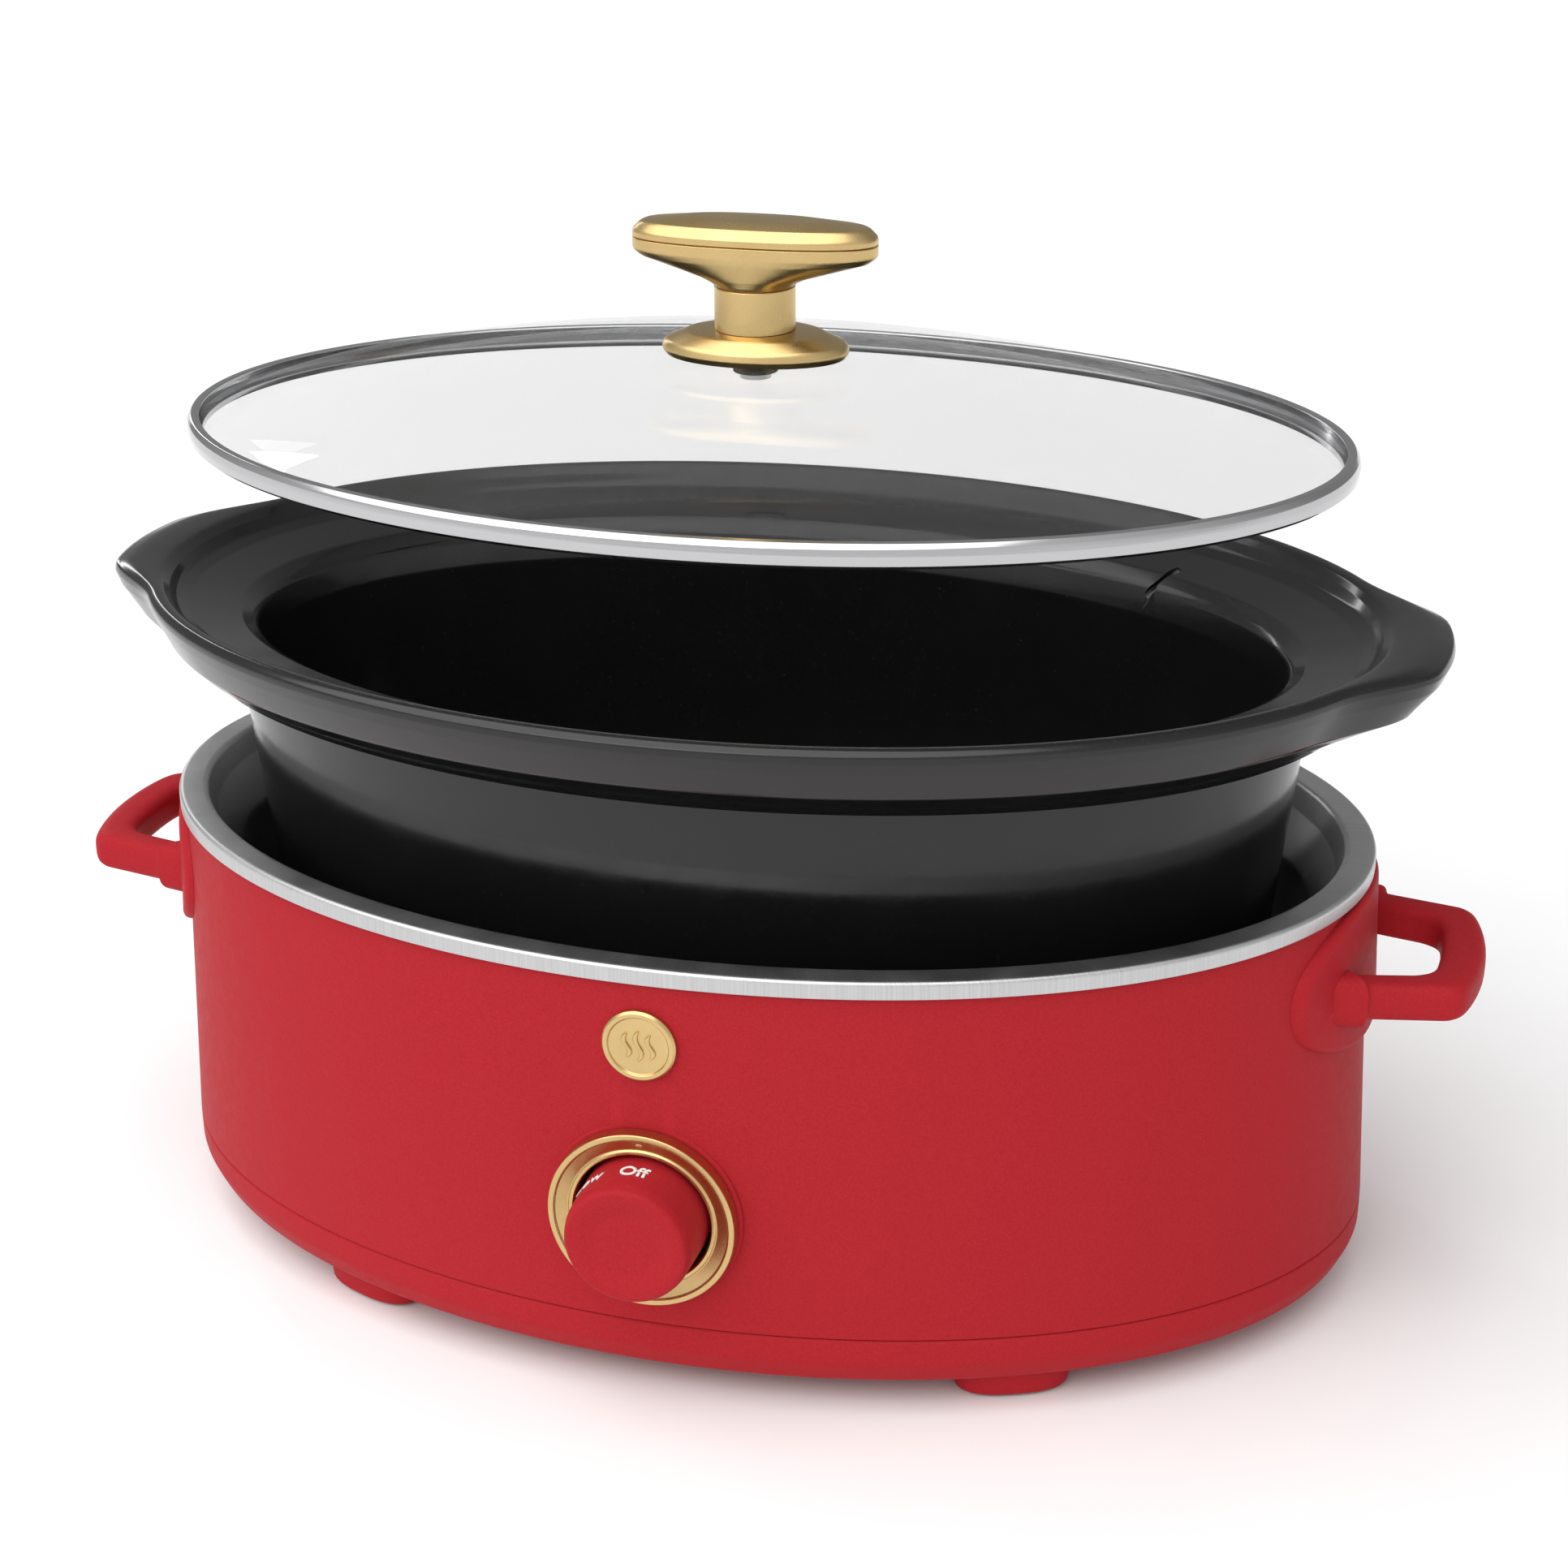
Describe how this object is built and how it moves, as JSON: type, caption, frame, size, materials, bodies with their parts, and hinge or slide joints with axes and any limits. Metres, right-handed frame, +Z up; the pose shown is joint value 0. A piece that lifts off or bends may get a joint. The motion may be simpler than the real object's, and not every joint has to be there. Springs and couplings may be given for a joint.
{
  "type": "slow cooker",
  "caption": "Oval slow cooker: red heated base with a rotary dial and loop handles, a lift-out black stoneware crock and a domed glass lid with a gold knob, shown lifted apart.",
  "frame": {"origin": "on the table under the middle of the base", "axes": "+X along the long side toward the cooker's right handle as seen from the front, +Y toward the back (the dial faces -Y), +Z up"},
  "size_m": [0.442, 0.2785, 0.3183],
  "materials": {
    "red_plastic": "matte soft-touch",
    "steel": "brushed",
    "black_rubber": "matte",
    "zinc": "satin",
    "heater": "matte mica and glass cloth",
    "insulation": "matte fibre",
    "white_plastic": "satin",
    "black_plastic": "satin",
    "gold": "satin gold",
    "glaze": "glossy black glaze on stoneware",
    "glass": "clear polished",
    "lid_steel": "polished"
  },
  "bodies": {
    "base": {"housing_shell": "red_plastic", "bottom_cover": "red_plastic", "foot_pads": "black_rubber", "liner": "steel", "heating_band": "heater", "insulation_wrap": "insulation", "band_straps": "zinc", "strap_screws": "zinc", "thermal_fuse": "white_plastic", "fuse_clip": "zinc", "heat_shield": "zinc", "center_stud": "zinc", "stud_nut": "zinc", "shield_spacer": "white_plastic", "switch_body": "black_plastic", "switch_screws": "zinc", "terminal_block": "white_plastic", "terminal_screws": "zinc", "wiring": "white_plastic", "cord_gland": "black_rubber", "gland_nut": "black_rubber", "handle_left": "red_plastic", "handle_right": "red_plastic", "handle_screws": "zinc", "cover_screws": "zinc", "dial_bezel": "gold", "indicator_dot": "gold", "front_badge": "gold"},
    "dial": {"dial_knob": "red_plastic", "dial_shaft": "zinc", "shaft_clip": "zinc"},
    "crock": {"crock": "glaze"},
    "lid": {"lid_glass": "glass", "lid_ring": "lid_steel", "knob_washer": "black_rubber", "knob_flange": "gold", "knob_stem": "gold", "grip_base": "gold", "grip_cap": "gold", "lid_screw": "zinc"}
  },
  "joints": [
    {"name": "dial_turn", "type": "hinge", "parent": "base", "child": "dial", "pos_m": [0, -0.12, 0.0625], "axis": [0, 1, 0], "range_deg": [0, 135]},
    {"name": "crock_lift", "type": "slide", "parent": "base", "child": "crock", "axis": [0, 0, 1], "range_m": [-0.046, 0.0585]},
    {"name": "lid_lift", "type": "slide", "parent": "crock", "child": "lid", "axis": [0, 0, 1], "range_m": [-0.0513, 0]}
  ]
}
